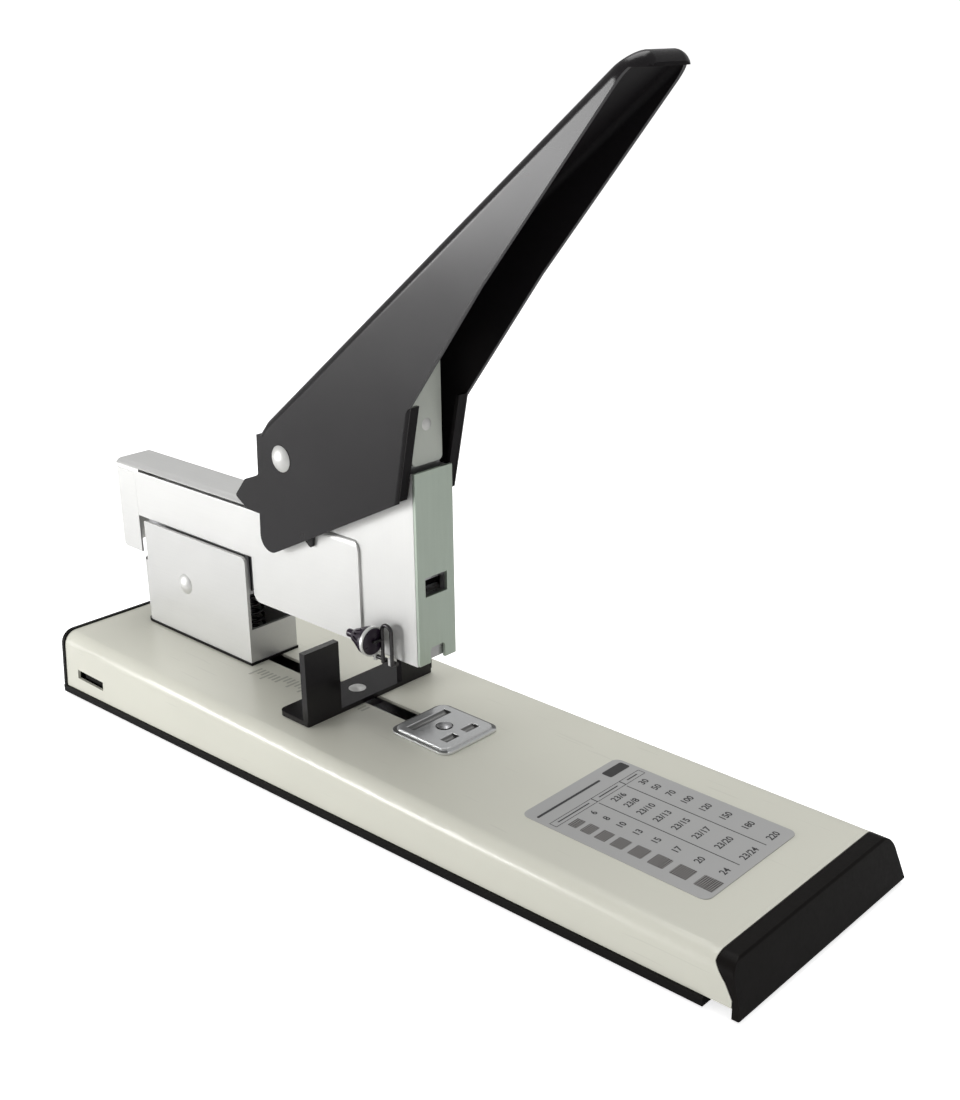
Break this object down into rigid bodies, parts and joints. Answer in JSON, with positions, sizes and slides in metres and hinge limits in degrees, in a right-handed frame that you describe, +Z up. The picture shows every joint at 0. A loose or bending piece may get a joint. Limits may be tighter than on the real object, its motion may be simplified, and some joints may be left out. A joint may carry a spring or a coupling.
{
  "type": "long reach stapler",
  "caption": "Heavy-duty long reach stapler: a sheet-steel lever drives a hammer down an upright head over a turning anvil, on a wedge-shaped base with a sliding paper guide.",
  "frame": {"origin": "middle of the base's footprint on the table", "axes": "+X along the base towards its low front end cap, +Y across the base, +Z up"},
  "size_m": [0.2897, 0.08, 0.2135],
  "materials": {
    "ivory_paint": "smooth satin ivory-grey paint on sheet steel",
    "black_paint": "smooth semi-gloss black paint",
    "nickel": "satin nickel plate",
    "front_steel": "brushed, slightly darker nickel plate",
    "chrome": "polished",
    "steel": "plain steel",
    "grey_plate": "pale grey painted plate",
    "black_plastic": "fine-grained black plastic",
    "rubber": "matt",
    "label": "printed film sticker"
  },
  "bodies": {
    "base": {"base_shell": "ivory_paint", "bottom_tray": "black_plastic", "side_clips": "black_plastic", "front_end_cap": "black_plastic", "shell_posts": "steel", "tray_screws": "steel", "rubber_feet": "rubber", "inner_channel": "steel", "anvil_block": "steel", "anvil_rivet": "steel", "size_label": "label", "bracket_pad": "black_plastic", "rear_bracket": "nickel", "bracket_screws": "steel", "bracket_nuts": "steel", "head_pivot_pin": "steel", "return_spring": "steel"},
    "anvil": {"anvil_plate": "chrome"},
    "guide": {"depth_guide": "black_paint", "guide_shoe": "steel", "guide_rivet": "steel"},
    "head": {"head_housing": "nickel", "rear_cap": "nickel", "pivot_frame": "steel", "pivot_bush": "steel", "front_housing": "nickel", "front_plate": "front_steel", "staple_guide": "steel", "magazine_rail": "steel", "pusher_rod": "steel", "pusher_spring": "steel", "pivot_ears": "black_paint", "ear_rivets": "steel", "handle_pin": "steel", "handle_spring": "steel"},
    "hammer": {"hammer_block": "steel", "driver_blade": "steel", "hammer_cover": "grey_plate", "hammer_rivet": "steel"},
    "handle": {"handle_channel": "black_paint", "press_arm": "steel", "press_pin": "steel"},
    "pusher": {"pusher": "black_plastic"},
    "latch": {"latch_wire": "steel", "latch_knob": "black_plastic"}
  },
  "joints": [
    {"name": "head_pivot", "type": "hinge", "parent": "base", "child": "head", "pos_m": [-0.1048, 0, 0.04265], "axis": [0, 1, 0], "range_deg": [0, 10.1], "stiffness_Nm_per_rad": 6, "springref_deg": -20.05, "deforming": ["return_spring"]},
    {"name": "handle_turn", "type": "hinge", "parent": "head", "child": "handle", "pos_m": [-0.0421, 0, 0.09901], "axis": [0, 1, 0], "range_deg": [0, 31], "stiffness_Nm_per_rad": 1, "springref_deg": -20.05},
    {"name": "hammer_slide", "type": "slide", "parent": "head", "child": "hammer", "axis": [-0.0314, 0, -0.9995], "range_m": [0, 0.02469]},
    {"name": "anvil_turn", "type": "hinge", "parent": "base", "child": "anvil", "pos_m": [0.01143, 0, 0.01939], "axis": [0.0314, 0, 0.9995], "range_deg": [0, 180]},
    {"name": "guide_slide", "type": "slide", "parent": "base", "child": "guide", "axis": [0.9995, 0, -0.0314], "range_m": [-0.032, 0.004]},
    {"name": "pusher_slide", "type": "slide", "parent": "head", "child": "pusher", "axis": [0.9995, 0, -0.0314], "range_m": [-0.058, 0], "stiffness_N_per_m": 20, "springref_m": 0.08},
    {"name": "latch_hinge", "type": "hinge", "parent": "head", "child": "latch", "pos_m": [-0.00231, -0.0087, 0.04093], "axis": [0.9995, 0, -0.0314], "range_deg": [0, 25], "stiffness_Nm_per_rad": 0.004, "springref_deg": -22.92}
  ],
  "couplings": [
    {"joint": "hammer_slide", "follows": "handle_turn", "m_per_rad": 0.045441}
  ]
}
